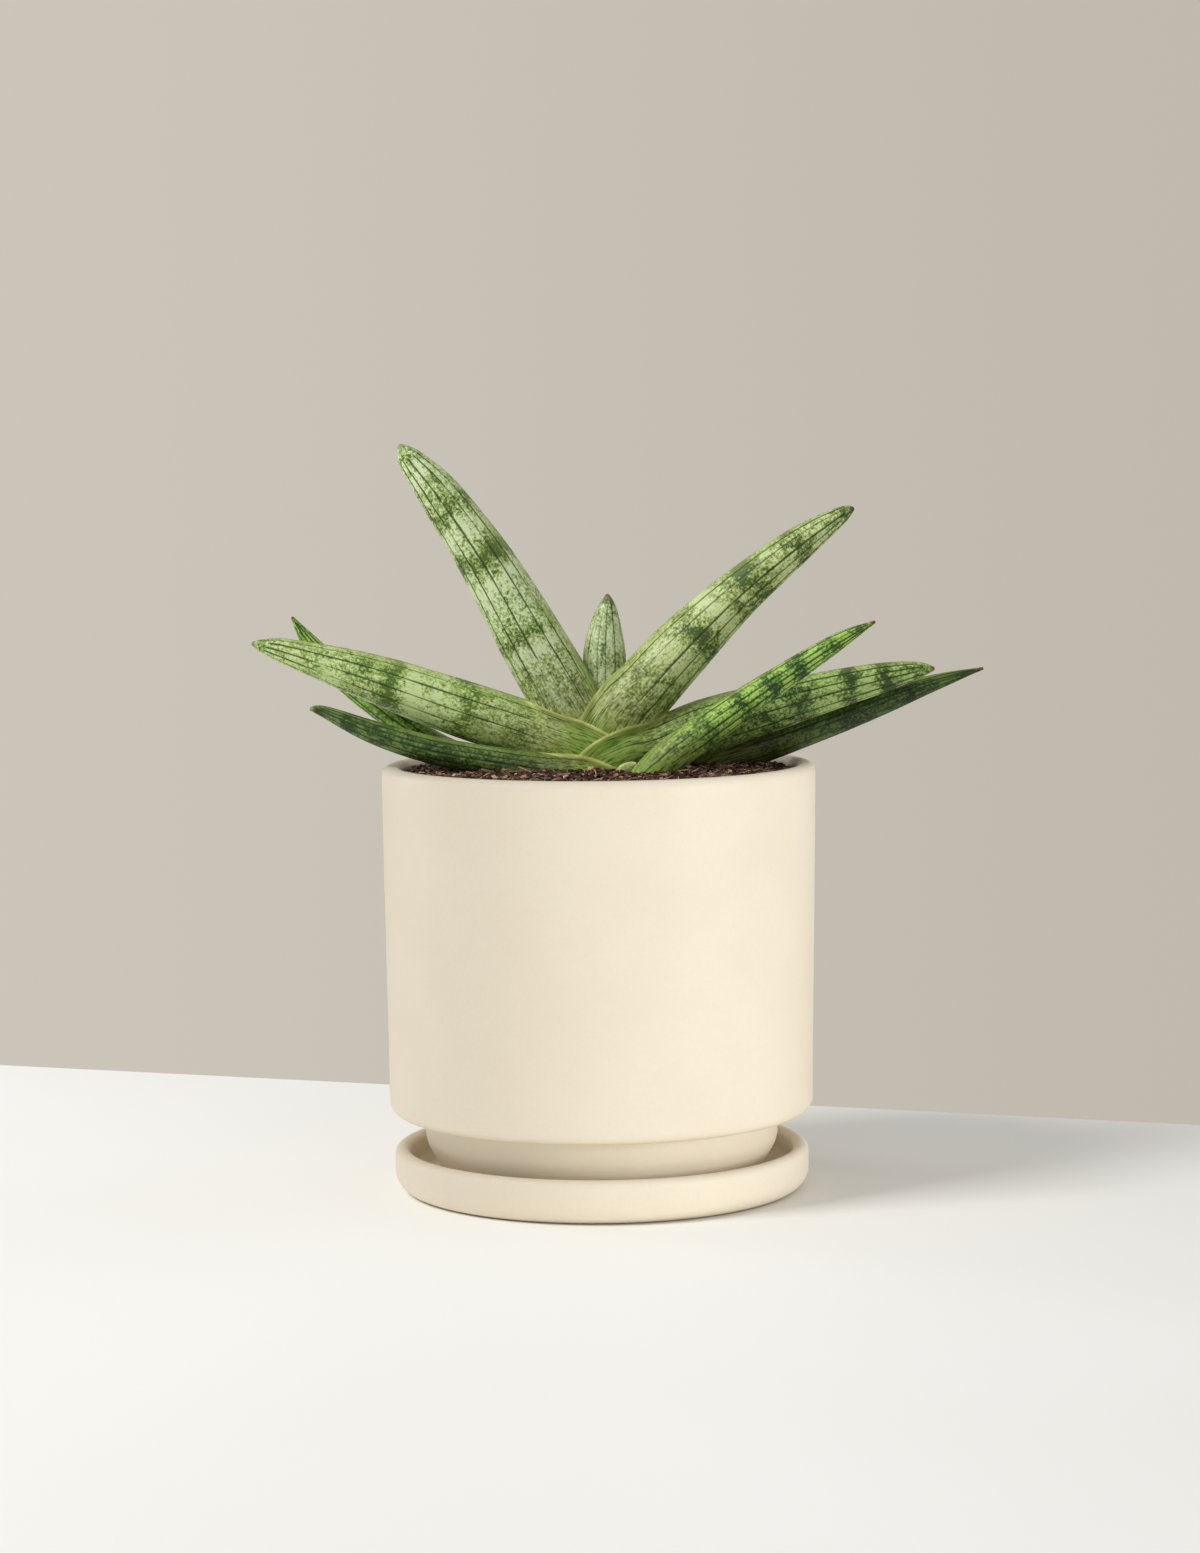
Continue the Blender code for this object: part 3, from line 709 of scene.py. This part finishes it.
def finish_maps(leaf, look, seed):
    """Where the finish changes: bands, tinted base, fresh green foot, painted light on the upper side, tip
    and scars.
    """
    around, height, tip_distance, total = leaf.around, leaf.height, leaf.tip_distance, leaf.total
    bias = 0.022 * wave(around, height * 1.5, seed + 2)
    for distance, half_width, strength in look["bands"]:
        shift = wave(around * 2, height * 0, seed + int(distance * 7)) * half_width * 0.6
        band = np.exp(-(((tip_distance - distance - shift) / (0.85 * half_width)) ** 2))
        patchy = 0.75 + 0.35 * wave(around, height * 1.8, seed + int(distance * 3))
        bias += BAND_STRENGTH * strength * band * patchy
    base_length = 0.52 * total
    base = ease(base_length - height, 0, base_length * 0.75)
    base *= 0.85 + 0.25 * wave(around, height, seed + 4)
    fresh = ease(0.3 * total - height, 0, 0.1 * total) * 0.9
    # Painted light: the upper side of each leaf, where light from above falls, is lightened towards a pale
    # yellow green.
    painted_top_light = 0.45 * ease(np.sin(around), 0.55, 1.0) * (0.7 + 0.5 * wave(around, height * 2, seed + 6))
    tip = ease(look["tip_length"] - tip_distance, 0, look["tip_length"] * 0.7)
    scar = np.zeros(around.shape)
    for distance, degrees, size in look.get("scars", ()):
        across = (around - math.radians(degrees)) * leaf.radius
        scar += ease(size - np.hypot(across, tip_distance - distance), 0, size * 0.6)
    return {
        "bias": bias, "base": np.clip(base, 0, 1), "fresh": fresh, "painted_top_light": np.clip(painted_top_light, 0, 1),
        "tip": tip, "scar": np.clip(scar, 0, 1),
    }


def with_ends(values):
    """One row a point, with rows added for the points that close the base and the tip."""
    rows = values.reshape(-1, *values.shape[2:])
    return np.concatenate([rows, rows[:1], rows[-1:]])


def make_leaf(name, inner_trees):
    """One leaf, its base laid over the leaves inside it where it wraps them."""
    look = LEAF_LOOKS[name]
    small = name == "scale_leaf"
    leaf = leaf_surface(name, *((40, 48) if small else (LEAF_SIDES, LEAF_RINGS)))
    around, height, places = leaf.around, leaf.height, leaf.places
    seed = LEAF_ORDER.index(name) * 13 + 5

    groove = np.zeros(around.shape) if small else groove_map(leaf, seed, look.get("groove", 1.0))
    swell = wave(around, height, seed + 1) * 0.1 * ease(leaf.tip_distance, 1, 12)
    outward = leaf.points - places[:, None]
    outward = outward / np.maximum(np.linalg.norm(outward, axis=2, keepdims=True), 1e-6)
    points = leaf.points + outward * (swell - GROOVE_DEPTH * groove)[..., None]

    margin = np.zeros(around.shape)
    if name in WRAPPING:
        near_base = height < WRAPPED_SHARE * leaf.total
        points[..., 1], pushed = draped(points, around, near_base, inner_trees)
        from_edge = leaf.half_width - np.abs(width_of(points, places))
        margin = (1 - ease(from_edge, 0.35, 1.15)) * (np.cos(around) < 0) * (np.sin(around) > 0)
        margin *= ease(pushed, 0.02, 0.4) * ease(0.66 * leaf.total - height, 0, 6)

    ends = np.stack([places[0], places[-1] + (places[-1] - places[-2]) * 0.5])
    floats = {"groove": np.clip(groove, 0, 1), **finish_maps(leaf, look, seed), "margin": margin}
    floats = {key: with_ends(values) for key, values in floats.items()}
    # The leaf as a straight rod, apart from the other leaves, for patterns that follow its length
    rod = np.stack([leaf.radius * np.cos(around), leaf.radius * np.sin(around), height + seed * 40], 2)
    faces, uv = leaf_faces(leaf)
    everything = np.concatenate([points.reshape(-1, 3), ends])
    blade = mesh_object(name + "_blade", everything, faces, uv, floats, {"leaf_space": with_ends(rod)})
    blade.data.materials.append(leaf_material(name + "_finish", look))
    return blade


# ---------------------------------------------------------------- soil

def soil_height(x, y):
    """Height of the soil's surface, in millimetres."""
    distance = math.hypot(x, y) / SOIL_RADIUS
    crown = SOIL_EDGE + (SOIL_TOP - SOIL_EDGE) * (1 - min(1.0, distance) ** 2)
    lumps = noise.noise(Vector((x * 0.09, y * 0.09, 1.7))) * 0.55
    crumbs = noise.noise(Vector((x * 0.42, y * 0.42, 4.1))) * 0.5
    return crown + lumps + crumbs


def make_soil(look):
    """The block of soil: a rough top, and the sides and bottom that the pot hides."""
    top_rings, sides = 90, 260
    # The bake map: the top as a disc, the sides as close rings round it, and the bottom in a corner
    top_share, side_share, ring_share = 0.455, 0.46, 0.005
    corner, corner_share = 0.045, 0.035
    points, uv_points = [(0, 0, soil_height(0, 0))], [(0.5, 0.5)]
    for ring in range(1, top_rings + 1):
        radius = SOIL_RADIUS * ring / top_rings
        for side in range(sides):
            angle = TAU * side / sides
            x, y = radius * math.cos(angle), radius * math.sin(angle)
            points.append((x, y, soil_height(x, y)))
            share = top_share * ring / top_rings
            uv_points.append((0.5 + share * math.cos(angle), 0.5 + share * math.sin(angle)))
    outline = [(56.6, 32.0), (53.0, 28.7), (47.2, 28.7), (46.1, 27.0), (45.0, 13.8), (41.0, SOIL_BOTTOM)]
    for ring, (radius, z) in enumerate(outline):
        for side in range(sides):
            angle = TAU * side / sides
            points.append((radius * math.cos(angle), radius * math.sin(angle), z))
            share = side_share + ring_share * (ring + 1)
            uv_points.append((0.5 + share * math.cos(angle), 0.5 + share * math.sin(angle)))
    points.append((0, 0, SOIL_BOTTOM))
    faces = [(0, 1 + side, 1 + (side + 1) % sides) for side in range(sides)]
    rows = top_rings + len(outline)
    for row in range(rows - 1):
        for side in range(sides):
            far = (side + 1) % sides
            first, second = 1 + row * sides, 1 + (row + 1) * sides
            faces.append((first + side, second + side, second + far, first + far))
    bottom = len(points) - 1
    final = 1 + (rows - 1) * sides
    flat_faces = [(bottom, final + (side + 1) % sides, final + side) for side in range(sides)]
    uv = [uv_points[index] for face in faces for index in face]
    for side in range(sides):
        uv.append((corner, corner))
        for angle in (TAU * (side + 1) / sides, TAU * side / sides):
            uv.append((corner + corner_share * math.cos(angle), corner + corner_share * math.sin(angle)))
    soil = mesh_object("soil_bed", points, faces + flat_faces, uv, {"tone": np.zeros(len(points))})
    soil.data.materials.append(look)
    return soil


def chip(size, draws):
    """One crumb of bark: a rough eight-cornered lump."""
    corners = []
    for x in (-1, 1):
        for y in (-1, 1):
            for z in (-1, 1):
                corners.append([
                    x * size[0] * draws.uniform(0.55, 1.1), y * size[1] * draws.uniform(0.5, 1.15),
                    z * size[2] * draws.uniform(0.5, 1.1),
                ])
    faces = [(0, 1, 3, 2), (4, 6, 7, 5), (0, 4, 5, 1), (2, 3, 7, 6), (0, 2, 6, 4), (1, 5, 7, 3)]
    return corners, faces


def make_chips(name, count, shape, tones, look, seed, lift):
    """Crumbs, bark or fibres strewn over the soil, as one piece. shape draws each crumb's half sizes."""
    draws = random.Random(seed)
    points, faces, tone = [], [], []
    while count:
        angle, radius = draws.uniform(0, TAU), (SOIL_RADIUS - 1.5) * math.sqrt(draws.random())
        x, y = radius * math.cos(angle), radius * math.sin(angle)
        size = shape(draws)
        if radius + size[0] > SOIL_RADIUS - 0.6:
            size = (min(size[0], SOIL_RADIUS - 0.6 - radius), size[1], size[2])
            if size[0] < 0.3:
                continue
        count -= 1
        corners, sides = chip(size, draws)
        tilt = draws.uniform(-0.6, 0.6), draws.uniform(-0.45, 0.45), draws.uniform(0, TAU)
        turn = Euler(tilt).to_matrix()
        centre = Vector((x, y, soil_height(x, y) + size[2] * lift))
        first = len(points)
        points += [turn @ Vector(corner) + centre for corner in corners]
        faces += [tuple(first + index for index in side) for side in sides]
        tone += [tones(draws)] * len(corners)
    pieces = mesh_object(name, [tuple(point) for point in points], faces, None, {"tone": tone})
    pieces.data.shade_flat()
    pieces.data.materials.append(look)
    return pieces


# ---------------------------------------------------------------- stage

# In metres: what the lights face, and the camera's place with its angles in degrees and its lens
LIT_PLACE = Vector((0, 0, 0.12))
CAMERA_PLACE = Vector((0.00045, -1.080, 0.2157))
CAMERA_PITCH = 85.0
CAMERA_ROLL = -0.55
CAMERA_LENS = 85.75


def make_floor():
    """A pale table top that ends a little behind the pot, further back on the left than on the right."""
    front, back, half = -2.2, 0.153, 2.4
    skew = half * 0.3446
    corners = [(-half, front, 0), (half, front, 0), (half, back - skew, 0), (-half, back + skew, 0)]
    mesh = bpy.data.meshes.new("floor")
    mesh.from_pydata(corners, [], [(0, 1, 2, 3)])
    floor = bpy.data.objects.new("floor", mesh)
    bpy.context.scene.collection.objects.link(floor)
    material, tree, shader = new_material("floor_finish")
    place = node(tree, "ShaderNodeTexCoord").outputs["Object"]
    drift = noise_of(tree, place, 3.0, 2.0, 0.5)
    colour = blend(tree, ramp(tree, drift, 0.3, 0.7), linear((240, 238, 233)), linear((244, 243, 239)))
    feed(tree, shader.inputs["Base Color"], colour)
    shader.inputs["Roughness"].default_value = 0.6
    shader.inputs["Specular IOR Level"].default_value = 0.2
    floor.data.materials.append(material)
    return floor


def make_light(name, place, size, power, colour=(1, 1, 1)):
    """A rectangular light that faces the plant."""
    data = bpy.data.lights.new(name, "AREA")
    data.shape = "RECTANGLE"
    data.size, data.size_y = size
    data.energy = power
    data.color = colour
    light = bpy.data.objects.new(name, data)
    bpy.context.scene.collection.objects.link(light)
    light.location = place
    light.rotation_euler = (LIT_PLACE - Vector(place)).to_track_quat("-Z", "Y").to_euler()
    return light


def light_only(light, pieces):
    """Keeps a light's glow to these pieces. Everything still casts its shadow."""
    lit = bpy.data.collections.new(light.name + "_lights")
    for piece in pieces:
        lit.objects.link(piece)
    light.light_linking.receiver_collection = lit


def make_lights(ceramics, others):
    """A key light from the upper left, weaker on the ceramics, which two fills of their own even out."""
    key_place, key_size = (-1.3, -0.75, 1.55), (0.7, 0.7)
    make_light("key_upper_left", key_place, key_size, 9.0)
    light_only(make_light("key_on_plant", key_place, key_size, 18.0), others)
    light_only(make_light("fill_front_right", (1.6, -1.2, 0.35), (0.9, 0.6), 17.0), ceramics)
    low_front = make_light("fill_low_front", (0.1, -1.7, 0.14), (0.9, 0.2), 1.6, (1.0, 0.98, 0.95))
    light_only(low_front, ceramics)
    make_light("edge_back_left", (-0.9, 0.45, 0.4), (0.3, 0.6), 1.6)


def make_world():
    """A warm grey wall behind the plant and a paler room all round, a little brighter on the right."""
    world = bpy.data.worlds.new("surround")
    bpy.context.scene.world = world
    world.use_nodes = True
    tree = world.node_tree
    background = tree.nodes["Background"]
    direction = node(tree, "ShaderNodeTexCoord").outputs["Generated"]
    parts = node(tree, "ShaderNodeSeparateXYZ", {0: direction}).outputs
    wall = blend(tree, ramp(tree, parts["X"], -0.2, 0.2), linear((204, 197, 186)), linear((192, 185, 173)))
    room = blend(tree, ramp(tree, parts["X"], -0.8, 0.8), linear((180, 182, 184)), linear((206, 206, 206)))
    colour = blend(tree, ramp(tree, parts["Y"], 0.62, 0.86), room, wall)
    feed(tree, background.inputs["Color"], colour)


def make_camera():
    """About a metre away, a little above the rim, tilted 5 degrees down."""
    data = bpy.data.cameras.new("camera")
    data.lens = CAMERA_LENS
    data.sensor_width = 36.0
    data.sensor_fit = "AUTO"
    data.clip_start = 0.05
    camera = bpy.data.objects.new("camera", data)
    bpy.context.scene.collection.objects.link(camera)
    pitch = Matrix.Rotation(math.radians(CAMERA_PITCH), 4, "X")
    roll = Matrix.Rotation(math.radians(CAMERA_ROLL), 4, "Z")
    camera.matrix_world = Matrix.Translation(CAMERA_PLACE) @ (pitch @ roll)
    bpy.context.scene.camera = camera


# ---------------------------------------------------------------- the plant in its pot

def place_piece(piece, slot, *nodes):
    """Rides the body, and hides the CAD nodes it stands in for. The slot is not used."""
    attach(piece, "root")
    if nodes:
        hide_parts(*nodes)


def main():
    view = bpy.context.scene.view_settings
    view.view_transform = "Standard"
    view.look = "None"

    ceramic = ceramic_material()
    saucer, pot = make_saucer(ceramic), make_pot(ceramic)
    place_piece(saucer, "ceramic", "saucer")
    place_piece(pot, "ceramic", "pot")

    bed_look = soil_material("soil_bed_finish", (24, 13, 9), (60, 35, 25), (112, 84, 62))
    bark_look = soil_material("soil_bark_finish", (32, 17, 12), (92, 54, 39), (214, 176, 142))
    bed = make_soil(bed_look)
    place_piece(bed, "soil", "soil")
    crumbs = make_chips(
        "soil_crumbs", 5200, lambda d: (d.uniform(0.25, 0.8), d.uniform(0.2, 0.6), d.uniform(0.2, 0.6)),
        lambda d: d.random() ** 9, bark_look, 21, 0.3,
    )
    bark = make_chips(
        "soil_bark", 850, lambda d: (d.uniform(0.6, 2.2), d.uniform(0.3, 0.9), d.uniform(0.3, 0.6)),
        lambda d: d.random() ** 5, bark_look, 22, 0.6,
    )
    fibres = make_chips(
        "soil_fibres", 380, lambda d: (d.uniform(1.0, 3.0), d.uniform(0.08, 0.15), d.uniform(0.06, 0.12)),
        lambda d: d.uniform(0.3, 1.0), bark_look, 23, 7.0,
    )
    for piece in (crumbs, bark, fibres):
        place_piece(piece, "soil")

    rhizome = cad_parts["rhizome"]
    rhizome.data.materials.clear()
    rhizome.data.materials.append(rhizome_material())

    inner = []
    grown = [bed, crumbs, bark, fibres]
    for name in LEAF_ORDER:
        leaf = make_leaf(name, inner)
        grown.append(leaf)
        place_piece(leaf, LEAF_LOOKS[name]["slot"], name)
        if name in LEAF_ORDER[:5]:
            inner.append(tree_of(leaf))

    floor = make_floor()
    make_lights((saucer, pot), grown + [floor])
    make_world()
    make_camera()


main()
